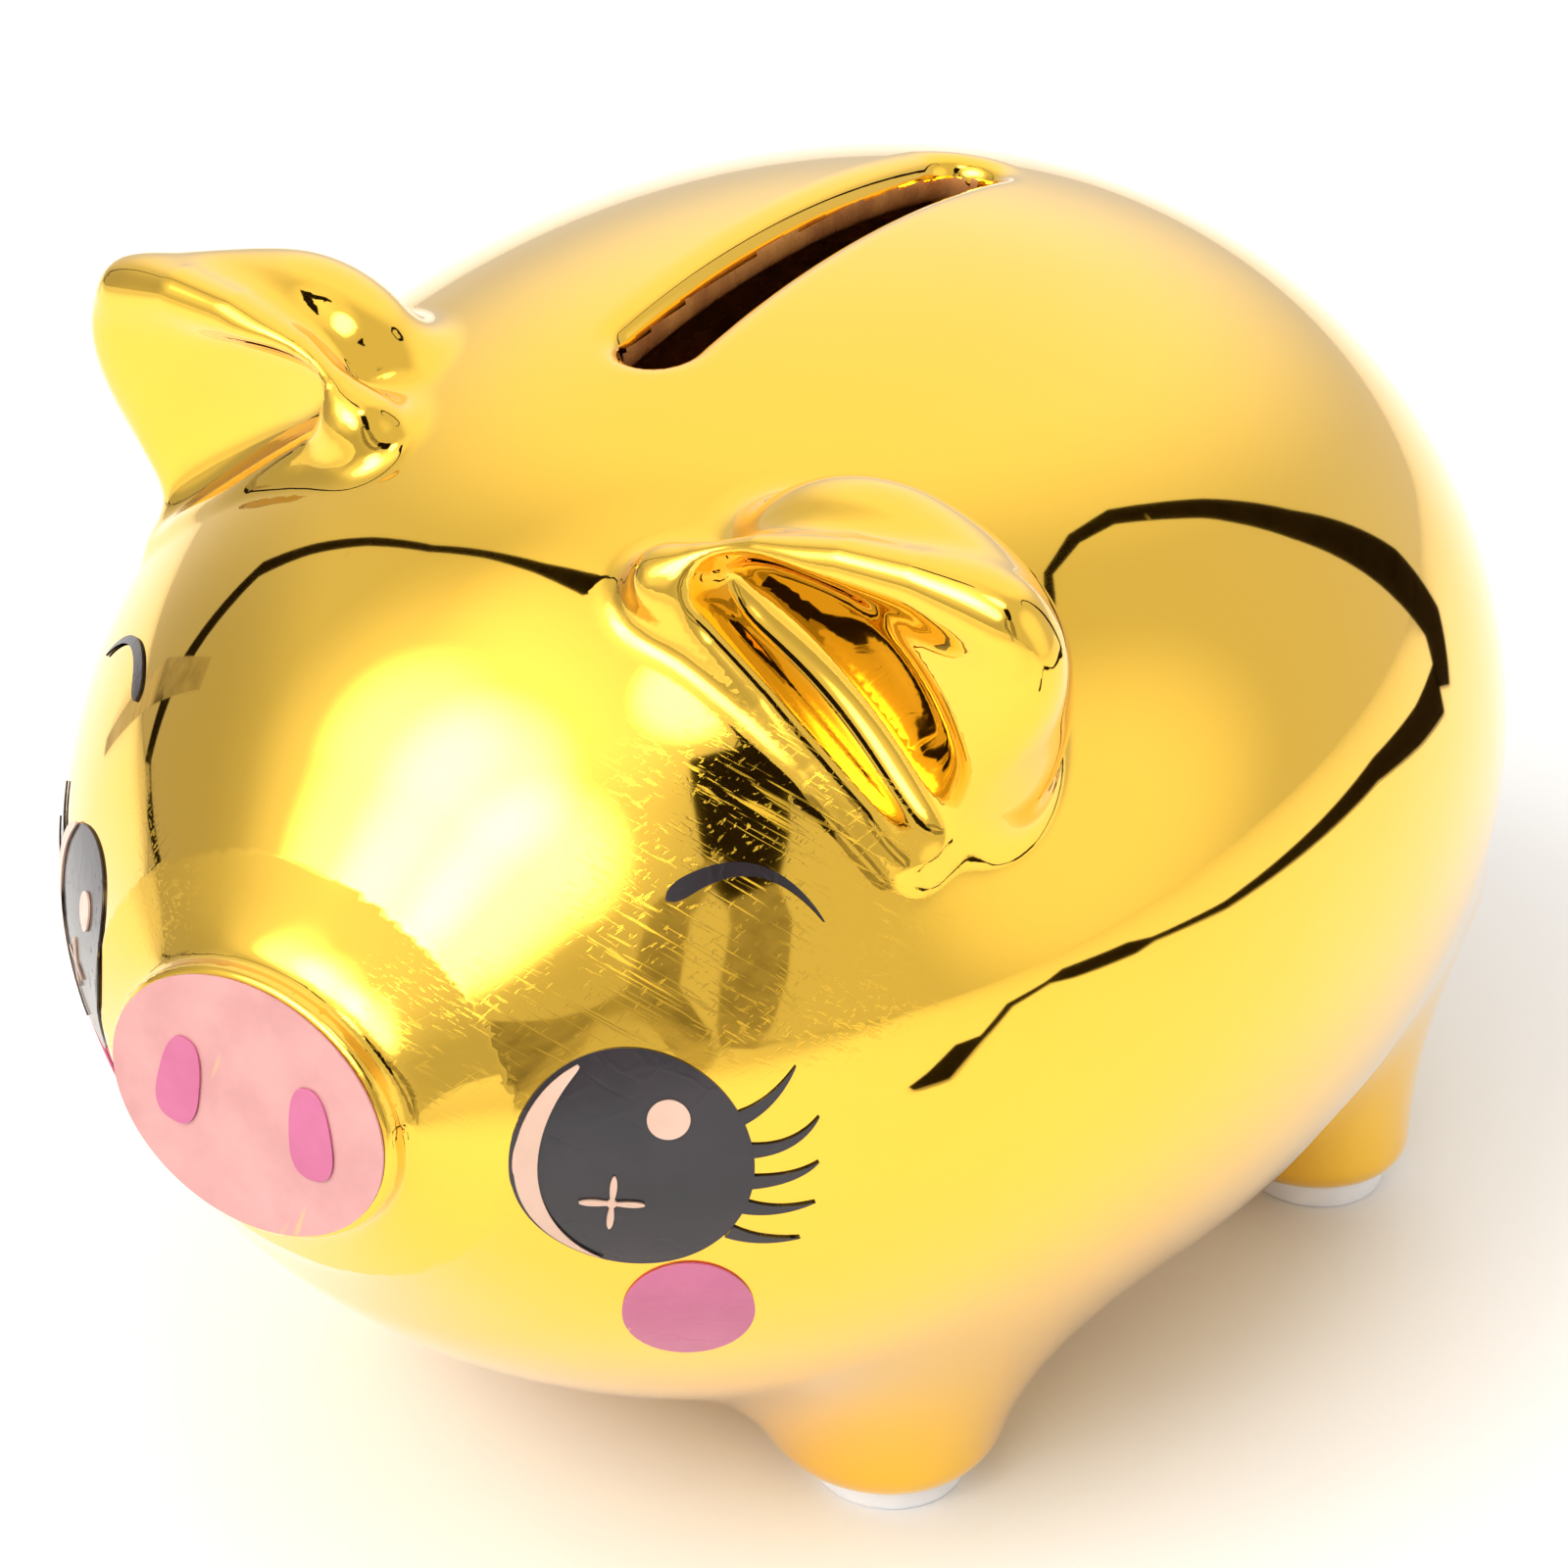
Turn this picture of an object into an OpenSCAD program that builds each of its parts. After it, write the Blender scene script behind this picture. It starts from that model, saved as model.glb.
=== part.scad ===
// Gold-plated ceramic piggy bank: one hollow cast shell with a coin slot, a rubber
// stopper that slides out of the belly, four foot pads and thin printed face transfers.
// The pig faces -Y, its left side is +X, and it stands on z = 0.

/* [Body] */
// Width of the round body
body_w = 90; // [72:1:112]
// Length of the round body
body_l = 96.3; // [78:0.1:118]
// Height of the round body
body_h = 81; // [66:0.5:100]
// Height of the body's round underside above the floor, before it is flattened
body_gap = 1.36; // [1:0.02:3]
// Body centre, ahead of (-) or behind (+) the origin
body_y = 10.3; // [6:0.1:15]
// Height of the flat on the belly above the floor
belly_z = 4.2; // [3.4:0.1:6]
// Wall thickness of the cast clay
wall = 3.5; // [2.5:0.1:5]

/* [Head] */
// Width of the head
head_w = 71; // [58:0.5:84]
// Length of the head
head_l = 70; // [56:0.5:84]
// Height of the head
head_h = 61; // [50:0.5:72]
// Distance of the head's centre ahead of the origin
head_y = -21.7; // [-27:0.1:-16]
// Height of the head's centre above the floor
head_z = 45.2; // [40:0.1:52]
// How softly the head runs into the body
neck_blend = 26; // [14:0.5:34]

/* [Snout] */
// Width of the snout disc
snout_w = 22; // [16:0.2:26]
// Height of the snout disc
snout_h = 17.2; // [12:0.2:20]
// How far the disc stands ahead of the round of the head
snout_out = 3.4; // [2:0.1:8]
// Height of the disc's centre above the head's centre
snout_up = 1.6; // [-4:0.1:6]
// Upward lean of the disc, in degrees
snout_lean = 6; // [0:0.5:15]
// Rounding of the snout's edge
snout_edge = 0.6; // [0.4:0.1:1.5]
// How softly the snout runs into the head
snout_blend = 10.6; // [4:0.2:14]

/* [Ears] */
// Width of an ear along its base
ear_w = 22.6; // [18:0.2:27]
// Reach of an ear from its base to its tip
ear_h = 17.5; // [13:0.5:22]
// Thickness of an ear at its base
ear_t = 15; // [11:0.5:18]
// Bearing of the ear's root from straight ahead, in degrees
ear_bearing = 59; // [48:1:72]
// Climb of the ear's root from level, in degrees
ear_climb = 44; // [34:1:54]
// Slope of the ear's base line, in degrees
ear_slope = 39; // [28:1:50]
// Depth of the pocket in the ear
ear_pocket = 5; // [3:0.2:7]
// How far the right ear was set behind the left when the clay was joined
ear_stagger = 3.5; // [0:0.5:5]

/* [Legs] */
// Diameter of a foot
foot_d = 14.2; // [11:0.1:18]
// Rounding of the foot's lower edge
foot_edge = 2.4; // [1:0.1:3]
// How softly a leg runs into the belly
leg_blend = 12; // [6:0.5:14]
// Sideways place of the front feet
front_x = 20.2; // [16:0.2:25]
// Lengthways place of the front feet
front_y = -16.7; // [-21:0.1:-12]
// Sideways place of the rear feet
rear_x = 28; // [22:0.2:31]
// Lengthways place of the rear feet
rear_y = 33.1; // [27:0.1:37]

/* [Foot pads] */
// Diameter of a pad
pad_d = 10.8; // [8:0.1:14]
// Thickness of a pad
pad_t = 2; // [1:0.1:3]

/* [Coin slot] */
// Length of the slot
slot_l = 42; // [30:0.5:52]
// Width of the slot
slot_w = 4.7; // [4.6:0.1:6]
// Lengthways place of the slot's middle
slot_y = 0.8; // [-5:0.1:8]
// Chamfer of the slot's mouth
slot_lip = 0.8; // [0.3:0.1:1.2]

/* [Stopper] */
// Diameter of the round hole in the belly
hole_d = 26; // [22:0.5:32]
// Lengthways place of the hole
hole_y = 10.3; // [5:0.1:15]
// Gap all round between the stopper and the hole
hole_fit = 0.05; // [0.02:0.01:0.1]
// Width of the stopper's rim outside the hole
rim_w = 3.5; // [2:0.1:5]
// Thickness of the stopper's rim
rim_t = 1.6; // [1:0.1:2.2]
// Depth of the seat that the rim lies in
seat_depth = 1.4; // [0.6:0.1:2]
// Height of the stopper above the wall it plugs
plug_over = 2.5; // [1:0.1:5]
// Wall of the stopper's cup
cup_wall = 2.4; // [1.6:0.1:3.5]

/* [Tail] */
// Thickness of the tail at its root
tail_d = 4.2; // [3:0.1:5.5]
// Outer radius of the tail's curl
tail_r = 4.4; // [3:0.1:6]
// Height of the tail above the floor
tail_z = 50; // [42:0.5:58]

/* [Face transfers] */
// Thickness of a printed transfer
film = 0.14; // [0.1:0.02:0.3]
// Gap of adhesive under a transfer
film_gap = 0.03; // [0.02:0.01:0.08]
// Bearing of an eye from straight ahead, in degrees
eye_bearing = 38; // [30:0.5:46]
// Height of an eye
eye_h = 15.6; // [12:0.2:18]
// Width of an eye
eye_w = 14.4; // [11:0.2:17]
// Thickness of an eyelash at its root
lash_t = 0.8; // [0.5:0.05:1.1]
// Width of a blush spot
blush_w = 8.2; // [6:0.2:10]
// Length of an eyebrow
brow_l = 9; // [6:0.2:11]
// Height of a nostril
nostril_h = 5.9; // [4:0.1:7]
// Width of a nostril
nostril_w = 3.2; // [2:0.1:4]

/* [Hidden] */
gold = [0.95, 0.76, 0.25];
ink = [0.12, 0.10, 0.11];
cream = [0.95, 0.80, 0.74];
rose = [0.92, 0.45, 0.64];
pink = [0.93, 0.68, 0.69];

body_c = [0, body_y, body_gap + body_h / 2];
body_r = [body_w / 2, body_l / 2, body_h / 2];
head_c = [0, head_y, head_z];
head_r = [head_w / 2, head_l / 2, head_h / 2];
belly_blend = 6;
// Centre, forward axis and upward axis of the snout disc
snout_c = [0, head_y - head_l / 2 - snout_out, head_z + snout_up];
snout_a = [0, -cos(snout_lean), sin(snout_lean)];
snout_v = [0, sin(snout_lean), cos(snout_lean)];
foot_r = foot_d / 2;
feet = [[front_x, front_y], [-front_x, front_y], [rear_x, rear_y], [-rear_x, rear_y]];
foot_top = 30;
// Depth of a stub's skin under the trunk's, where the two would lie in one surface
sunk = 0.3;
seat_z = belly_z + seat_depth;
cavity_floor = seat_z + wall;
hole_r = hole_d / 2;
rim_r = hole_r + rim_w;
$fn = 96;

// ---- Distance functions: below 0 inside the clay, above 0 outside ----

// Smooth joining of two solids over the width k
function soft_min(a, b, k) = let(h = max(k - abs(a - b), 0) / k) min(a, b) - h * h * k / 4;
// Smooth cutting of two solids over the width k
function soft_max(a, b, k) = -soft_min(-a, -b, k);
function over(p, c, r) = [(p.x - c.x) / r.x, (p.y - c.y) / r.y, (p.z - c.z) / r.z];
function egg(p, c, r) =
    let(q = over(p, c, r), k0 = norm(q) + 1e-9, k1 = norm([q.x / r.x, q.y / r.y, q.z / r.z]) + 1e-9)
    k0 * (k0 - 1) / k1;
// Rounded profile from its two face distances, with the edge rounding e
function rounded(a, b, e) =
    min(max(a + e, b + e), 0) + norm([max(a + e, 0), max(b + e, 0)]) - e;
// Body and head without snout, legs or ears
function trunk(p) =
    soft_max(soft_min(egg(p, body_c, body_r), egg(p, head_c, head_r), neck_blend),
             belly_z - p.z, belly_blend);
function foot(p, at) =
    rounded(norm([p.x - at.x, p.y - at.y]) - foot_r,
            abs(p.z - (pad_t + foot_top) / 2) - (foot_top - pad_t) / 2, foot_edge);
function snout(p) =
    let(q = p - snout_c, out = norm([2 * q.x / snout_w, 2 * (q * snout_v) / snout_h]) - 1)
    rounded(out * min(snout_w, snout_h) / 2, q * snout_a, snout_edge);
// Width of the snout's joining: it dies away towards the disc, so that the disc stays flat
function snout_join(p) = snout_blend * min(max((snout_c - p) * snout_a / 5, 0.05), 1);
function face(p) = soft_min(trunk(p), snout(p), snout_join(p));

// How far along d from o a solid reaches: the place between lo and hi where g crosses 0
function reach(g, o, d, lo, hi, n = 16) =
    n == 0 ? (lo + hi) / 2
    : let(m = (lo + hi) / 2) g(o + m * d) < 0 ? reach(g, o, d, m, hi, n - 1) : reach(g, o, d, lo, m, n - 1);

// ---- Closed solids from rings of points ----

// Faces between rings of m points, closed by a flat cap at each end
function ring_faces(rings, m) = concat(
    [[for (j = [m - 1:-1:0]) j]],
    [for (i = [0:rings - 2], j = [0:m - 1])
        let(a = i * m + j, b = i * m + (j + 1) % m) each [[a, b, b + m], [a, b + m, a + m]]],
    [[for (j = [0:m - 1]) (rings - 1) * m + j]]
);
module ringed(rings) {
    m = len(rings[0]);
    polyhedron([for (r = rings) each r], ring_faces(len(rings), m), convexity = 6);
}
// A round solid: every ray from o meets its surface g = 0 once. Rings run from -Y to +Y
module ray_solid(g, o, far, rings, m) {
    ringed([for (i = [0:rings]) let(t = 1.5 + 177 * i / rings)
        [for (j = [0:m - 1]) let(f = 360 * j / m, d = [sin(t) * cos(f), -cos(t), sin(t) * sin(f)])
            o + d * reach(g, o, d, 0, far)]]);
}
// A stub on the axis a from o: rings at the given heights, none wider than far
module stub(g, o, a, u, v, heights, far, m, tip) {
    ringed(concat([tip],
        [for (h = heights) [for (j = [0:m - 1]) let(f = 360 * j / m, d = u * cos(f) + v * sin(f))
            o + a * h + d * reach(g, o + a * h, d, 0, far)]]));
}

// ---- Clay ----

leg_m = 22;
module leg(at) {
    // Heights above the sole: close together round the foot's edge, then ever wider
    steps = concat([0.07, 0.25, 0.55, 1] * foot_edge, [for (i = [1:11]) foot_edge + 0.5 * i + 0.28 * i * i]);
    stub(function(p) soft_min(trunk(p) + sunk, foot(p, at), leg_blend), [at.x, at.y, pad_t],
         [0, 0, 1], [0, 1, 0], [1, 0, 0], steps, foot_r + leg_blend * 0.6, leg_m,
         [for (j = [0:leg_m - 1]) let(f = 360 * j / leg_m)
             [at.x + (foot_r - foot_edge) * sin(f), at.y + (foot_r - foot_edge) * cos(f), pad_t]]);
}
snout_m = 34;
module snout_stub() {
    flat = [snout_w / 2 - snout_edge, snout_h / 2 - snout_edge];
    steps = concat([0.1, 0.4, 1] * snout_edge, [for (i = [1:7]) snout_edge + 0.5 * i + 0.18 * i * i]);
    stub(function(p) soft_min(trunk(p) + sunk, snout(p), snout_join(p)), snout_c, -snout_a, [1, 0, 0], snout_v,
         steps, snout_w * 0.8, snout_m,
         [for (j = [0:snout_m - 1]) let(f = 360 * j / snout_m)
             snout_c + [flat[0] * cos(f), 0, 0] + snout_v * flat[1] * sin(f)]);
}

// Root, outward axis and base-line axis of the left ear
ear_d = [sin(ear_bearing) * cos(ear_climb), -cos(ear_bearing) * cos(ear_climb), sin(ear_climb)];
ear_e = [cos(ear_slope), 0, -sin(ear_slope)];
ear_u = [sin(ear_slope), 0, cos(ear_slope)];
function ear_root() = head_c + ear_d * reach(function(p) trunk(p), head_c, ear_d, 0, head_w);
// Point p in the ear's own axes: along the base, outwards, forwards
function in_ear(p, root) = let(q = p - root) [q * ear_e, q * ear_u, -q.y];
function ear_dome(q) =
    soft_min(egg(q, [0, 0.17 * ear_h, -0.47 * ear_t], [0.5 * ear_w, 0.7 * ear_h, 0.53 * ear_t]),
             egg(q, [0.13 * ear_w, 0.68 * ear_h, -0.17 * ear_t], [0.22 * ear_w, 0.34 * ear_h, 0.3 * ear_t]),
             0.45 * ear_h);
function ear_lip(q) = egg(q, [-0.03 * ear_w, -0.02 * ear_h, 0.02 * ear_t], [0.47 * ear_w, 0.13 * ear_h, 0.19 * ear_t]);
function ear_solid(q) = soft_min(ear_dome(q), ear_lip(q), 2);
function eared(p, root) = soft_min(trunk(p) + sunk, ear_solid(in_ear(p, root)), 5);
module pocket_solid(root) {
    // Hollow in the front of the ear, open to the front
    ringed([for (i = [0:11]) let(t = 5 + 170 * i / 11)
        [for (j = [0:17]) let(f = 360 * j / 18, s = [0.43 * ear_w, 0.26 * ear_h, ear_pocket])
            root + ear_e * (s[0] * sin(t) * cos(f)) + ear_u * (0.2 * ear_h + s[1] * sin(t) * sin(f))
            - [0, 1, 0] * (1.2 + s[2] * cos(t))]]);
}
module face_cut(root) {
    // Broad shallow scoop that leaves the rolled rim
    ringed([for (i = [0:11]) let(t = 5 + 170 * i / 11)
        [for (j = [0:21]) let(f = 360 * j / 22, s = [0.62 * ear_w, 0.62 * ear_h, 0.5 * ear_t])
            root + ear_e * (s[0] * sin(t) * cos(f)) + ear_u * (0.62 * ear_h + s[1] * sin(t) * sin(f))
            - [0, 1, 0] * (0.52 * ear_t + s[2] * cos(t))]]);
}
module ear() {
    root = ear_root();
    mid = root + ear_u * (0.05 * ear_h) + [0, 0.45 * ear_t, 0];
    difference() {
        ray_solid(function(p) eared(p, root), mid, ear_h * 1.5, 18, 24);
        face_cut(root);
        pocket_solid(root);
    }
}

// Tail: a tapering tube wound into a flat curl against the rump
function tail_path(t) =
    let(a = 90 + 400 * t, r = tail_r * (1 - 0.45 * t) - tail_d / 2)
    [r * cos(a), tail_d * (0.25 + 0.5 * t) - (1 - t) * 0.4 * tail_d, tail_z + r * sin(a)];
function rump(x, z) =
    let(o = [x, body_y, z]) body_y + reach(function(p) trunk(p), o, [0, 1, 0], 0, body_l);
module tail() {
    n = 24;
    function at(t) = let(p = tail_path(t)) [p.x, rump(p.x, p.z) + p.y, p.z];
    ringed([for (i = [0:n]) let(t = i / n, c = at(t), d = at(t + 0.01) - at(t - 0.01), a = d / norm(d),
        u = [0, 1, 0] - a * a.y, un = u / norm(u), v = cross(a, un), r = tail_d / 2 * (1 - 0.55 * t))
        [for (j = [0:7]) c + r * (v * cos(45 * j) + un * sin(45 * j))]]);
}

module clay() {
    union() {
        ray_solid(function(p) trunk(p), [0, 0, head_z], body_l, 30, 46);
        for (at = feet) leg(at);
        snout_stub();
        ear();
        translate([0, ear_stagger, 0]) mirror([1, 0, 0]) ear();
        tail();
    }
}
// Hollow inside the casting, a wall's thickness in from the trunk
function hollow(p) = soft_max(trunk(p) + wall, cavity_floor - p.z, belly_blend);
module cavity() {
    ray_solid(function(p) hollow(p), [0, 0, head_z], body_l, 18, 28);
}
// Slot outline: a bar with round ends, grown by g all round
module slot_outline(g) {
    square([slot_w + 2 * g, slot_l - slot_w], center = true);
    for (s = [-1, 1]) translate([0, s * (slot_l - slot_w) / 2]) circle(slot_w / 2 + g);
}
// Height of the back above the slot's middle
function back_z() =
    head_z + reach(function(p) trunk(p), [0, slot_y, head_z], [0, 0, 1], 0, body_h);
module slot_cut() {
    top = back_z();
    translate([0, slot_y, top - 3 * wall]) linear_extrude(4 * wall) slot_outline(0);
    translate([0, slot_y, top - slot_lip]) linear_extrude(wall) slot_outline(slot_lip);
}

module shell() {
    color(gold) difference() {
        // resize() to its own size hands the clay on as one closed mesh
        resize([0, 0, 0]) difference() {
            clay();
            cavity();
            slot_cut($fn = 24);
        }
        translate([0, hole_y, -1]) cylinder(h = cavity_floor + 8, r = hole_r);
        translate([0, hole_y, belly_z - 2]) cylinder(h = seat_depth + 2, r = rim_r + 0.6);
    }
}

// ---- Rubber stopper ----

module stopper() {
    rim_top = seat_z - hole_fit;
    shank_top = cavity_floor + plug_over;
    color([0.85, 0.85, 0.83]) translate([0, hole_y, 0]) {
        difference() {
            rotate_extrude() polygon([
                [0, rim_top - rim_t], [rim_r - 0.4, rim_top - rim_t], [rim_r, rim_top - rim_t + 0.4],
                [rim_r, rim_top], [hole_r - hole_fit, rim_top],
                [hole_r - hole_fit, cavity_floor + 0.4],
                [hole_r - hole_fit - 1.4, shank_top], [0, shank_top]
            ]);
            translate([0, 0, rim_top - rim_t - 1])
                cylinder(h = shank_top - cup_wall - rim_top + rim_t + 1, r = hole_r - hole_fit - cup_wall);
        }
        // Grip bar across the cup
        translate([-hole_r + cup_wall / 2, -cup_wall / 2, rim_top - rim_t + 0.6])
            cube([hole_d - cup_wall, cup_wall, shank_top - cup_wall - rim_top + rim_t]);
    }
}

// ---- Foot pads ----

module pad(at) {
    color([0.86, 0.87, 0.9]) translate([at.x, at.y, 0]) rotate_extrude() polygon([
        [0, 0], [pad_d / 2 - 0.4, 0], [pad_d / 2, 0.4], [pad_d / 2, pad_t], [0, pad_t]
    ]);
}

// ---- Face transfers ----

// Direction at a bearing and a climb from the head's centre, with its two side axes
function ray(az, el) = [sin(az) * cos(el), -cos(az) * cos(el), sin(el)];
function ray_u(az) = [cos(az), sin(az), 0];
function ray_v(az, el) = [-sin(az) * sin(el), cos(az) * sin(el), cos(el)];
// Point of the face at (u, v) millimetres from the mark at (az, el), lifted by the given height
function on_face(az, el, u, v, lift) =
    let(d0 = ray(az, el), r0 = reach(function(p) trunk(p), head_c, d0, 0, head_w, 12),
        q = d0 * r0 + ray_u(az) * u + ray_v(az, el) * v, d = q / norm(q))
    head_c + d * (reach(function(p) face(p), head_c, d, 0, head_w, 18) + lift);
// A thin patch: shape(s, t) gives (u, v) for s and t from -1 to 1
module patch(az, el, shape, ns, nt, lift = 0) {
    k = (ns + 1) * (nt + 1);
    uv = [for (i = [0:ns], j = [0:nt]) shape(2 * i / ns - 1, 2 * j / nt - 1)];
    low = film_gap + lift;
    points = concat([for (q = uv) on_face(az, el, q[0], q[1], low)],
                    [for (q = uv) on_face(az, el, q[0], q[1], low + film)]);
    function at(i, j) = i * (nt + 1) + j;
    edge = concat([for (i = [0:ns - 1]) at(i, 0)], [for (j = [0:nt - 1]) at(ns, j)],
                  [for (i = [ns:-1:1]) at(i, nt)], [for (j = [nt:-1:1]) at(0, j)]);
    n = len(edge);
    polyhedron(points, concat(
        [for (i = [0:ns - 1], j = [0:nt - 1]) each [
            [at(i, j), at(i + 1, j), at(i + 1, j + 1)], [at(i, j), at(i + 1, j + 1), at(i, j + 1)],
            [k + at(i, j), k + at(i + 1, j + 1), k + at(i + 1, j)],
            [k + at(i, j), k + at(i, j + 1), k + at(i + 1, j + 1)]]],
        [for (m = [0:n - 1]) let(a = edge[m], b = edge[(m + 1) % n])
            each [[a, k + a, k + b], [a, k + b, b]]]
    ), convexity = 4);
}
// Square to disc: keeps the grid's corners apart round the rim
function disc(s, t) = [s * sqrt(1 - t * t / 2), t * sqrt(1 - s * s / 2)];
function spin(q, a) = [q[0] * cos(a) - q[1] * sin(a), q[0] * sin(a) + q[1] * cos(a)];
function oval(s, t, c, r, a) = let(q = disc(s, t)) c + spin([q[0] * r[0], q[1] * r[1]], a);
// A leaf-shaped stroke through a, b and c, t across it, thick at a and thin at c
function stroke(s, t, a, b, c, w0, w1) =
    let(k = (s + 1) / 2, p = a * (1 - k) * (1 - k) + b * 2 * k * (1 - k) + c * k * k,
        d = (b - a) * (1 - k) + (c - b) * k, n = [-d[1], d[0]] / norm(d))
    p + n * t * (w0 * (1 - k) + w1 * k) / 2;

eye_el = 1;
// An eye's centre, half sizes and lean within its own patch
eye_at = [-0.6, 0];
eye_r = [eye_w / 2, eye_h / 2];
eye_lean = 16;
module eye() {
    patch(eye_bearing, eye_el, function(s, t) oval(s, t, eye_at, eye_r, eye_lean), 10, 10);
}
// Edge of the eye (k = 0) and of the pupil (k = 1) at the angle a
function eye_rim(a, k) =
    k == 0 ? eye_at + spin([eye_r[0] * 0.97 * cos(a), eye_r[1] * 0.97 * sin(a)], eye_lean)
    : eye_at + [0.045 * eye_w, -0.01 * eye_h]
      + spin([eye_r[0] * 0.9 * cos(a), eye_r[1] * 0.94 * sin(a)], eye_lean - 8);
// side is 1 where the highlight lies on the inner side of the eye and -1 on the outer side
module eye_highlights(side) {
    lift = film + film_gap;
    flip = function(q) [side * (q[0] - eye_at[0]) + eye_at[0], q[1]];
    patch(eye_bearing, eye_el, function(s, t)
        let(a = 180 + 62 * s, k = (1 + t) / 2)
        flip(eye_rim(a, 0) * (1 - k) + eye_rim(a, 1) * k), 16, 2, lift);
    patch(eye_bearing, eye_el, function(s, t)
        flip(oval(s, t, eye_at + [2.1, 3.2], [1.3, 1.3], 0)), 6, 6, lift);
    patch(eye_bearing, eye_el, function(s, t)
        let(q = disc(s, t), a = atan2(q[1], q[0]), pull = 0.17 + 0.83 * pow(abs(cos(2 * a)), 9))
        flip(eye_at + [-1.2, -2.5] + 1.95 * pull * q), 10, 10, lift);
}
// Roots and tips of the lashes, from the top one down
lash_roots = [[6.1, 3.2], [6.7, 0.85], [6.75, -1.4], [6.45, -3.3], [5.6, -5.25]];
lash_tips = [[9.4, 6.3], [10.8, 2.75], [10.8, -0.5], [10.7, -3.5], [9.9, -6.35]];
module lashes() {
    for (i = [0:4]) {
        a = lash_roots[i];
        c = lash_tips[i];
        patch(eye_bearing, eye_el, function(s, t)
            stroke(s, t, a, (a + c) / 2 + [0.1, -0.9], c, lash_t, 0.08), 8, 1);
    }
}
module brow() {
    h = brow_l / 2;
    patch(eye_bearing + 11, 28.5, function(s, t)
        let(e = sqrt(max(1 - pow(max(-s, 0), 8), 0.05)))
        stroke(s, t * e, [-h, -0.2], [0.2 * h, 3], [h, -2.6], 1.35, 0.1), 12, 2);
}
module blush() {
    patch(43, -19.5, function(s, t) oval(s, t, [0, 0], [blush_w / 2, 0.58 * blush_w], 8), 8, 8);
}
// Flat outline on the snout disc, extruded forwards from the height lift
module on_snout(lift, t) {
    multmatrix([
        [1, 0, snout_a.x, snout_c.x + snout_a.x * lift],
        [0, snout_v.y, snout_a.y, snout_c.y + snout_a.y * lift],
        [0, snout_v.z, snout_a.z, snout_c.z + snout_a.z * lift],
        [0, 0, 0, 1]
    ]) linear_extrude(t) children();
}
module snout_disc() {
    r = [snout_w / 2 - snout_edge * 0.9, snout_h / 2 - snout_edge * 0.9];
    on_snout(film_gap, film) polygon([for (a = [0:6:354]) [r[0] * cos(a), r[1] * sin(a)]]);
}
module nostril() {
    c = [snout_w * 0.23, 0];
    on_snout(2 * film_gap + film, film) polygon([for (a = [0:12:348])
        let(q = [sign(cos(a)) * pow(abs(cos(a)), 0.75), sign(sin(a)) * pow(abs(sin(a)), 0.75)])
        c + spin([q[0] * nostril_w / 2, q[1] * nostril_h / 2], 8)]);
}
module right() {
    mirror([1, 0, 0]) children();
}

shell();
stopper();
pad(feet[0]);  // front_left_pad
pad(feet[1]);  // front_right_pad
pad(feet[2]);  // rear_left_pad
pad(feet[3]);  // rear_right_pad
color(pink) snout_disc();
color(rose) nostril();  // left_nostril
color(rose) right() nostril();  // right_nostril
color(ink) eye();  // left_eye
color(ink) right() eye();  // right_eye
color(cream) eye_highlights(1);  // left_eye_highlights
color(cream) right() eye_highlights(-1);  // right_eye_highlights
color(ink) lashes();  // left_lashes
color(ink) right() lashes();  // right_lashes
color(ink) brow();  // left_brow
color(ink) right() brow();  // right_brow
color(rose) blush();  // left_blush
color(rose) right() blush();  // right_blush
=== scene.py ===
import math
import bpy
import bmesh
import numpy as np
from mathutils import Matrix, Vector


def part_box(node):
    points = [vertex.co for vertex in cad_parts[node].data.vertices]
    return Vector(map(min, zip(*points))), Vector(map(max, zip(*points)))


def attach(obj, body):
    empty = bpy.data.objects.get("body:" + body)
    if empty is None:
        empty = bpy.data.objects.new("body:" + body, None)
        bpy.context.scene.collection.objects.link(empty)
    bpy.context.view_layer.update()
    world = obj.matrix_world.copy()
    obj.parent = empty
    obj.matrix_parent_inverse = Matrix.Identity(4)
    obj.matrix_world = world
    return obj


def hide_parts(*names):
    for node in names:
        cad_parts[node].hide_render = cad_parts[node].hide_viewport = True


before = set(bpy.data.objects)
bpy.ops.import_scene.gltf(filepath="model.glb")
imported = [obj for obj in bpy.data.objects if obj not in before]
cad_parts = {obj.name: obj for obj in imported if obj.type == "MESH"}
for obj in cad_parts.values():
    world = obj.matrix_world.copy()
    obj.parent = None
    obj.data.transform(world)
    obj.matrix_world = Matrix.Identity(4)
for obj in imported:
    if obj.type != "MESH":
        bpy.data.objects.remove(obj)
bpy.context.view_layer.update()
MM = 0.001
MIRROR = np.array([-1, 1, 1])

# ---------------------------------------------------------------- sizes in millimetres, close to part.scad's
WALL = 3.5
BODY_C, BODY_R = np.array([0, 10.3, 41.86]), np.array([45, 48.15, 40.5])
HEAD_C, HEAD_R = np.array([0, -21.7, 45.2]), np.array([35.5, 35, 30.5])
NECK_BLEND = 26.0
BELLY_Z, BELLY_BLEND = 4.2, 6.0
SNOUT_C = np.array([0, -60.1, 46.8])
SNOUT_LEAN = math.radians(6)
SNOUT_A = np.array([0, -math.cos(SNOUT_LEAN), math.sin(SNOUT_LEAN)])
SNOUT_V = np.array([0, math.sin(SNOUT_LEAN), math.cos(SNOUT_LEAN)])
SNOUT_W, SNOUT_H, SNOUT_DEPTH, SNOUT_EDGE, SNOUT_BLEND = 22.0, 17.2, 40.0, 0.6, 10.6
SNOUT_FADE = 5.0
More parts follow.
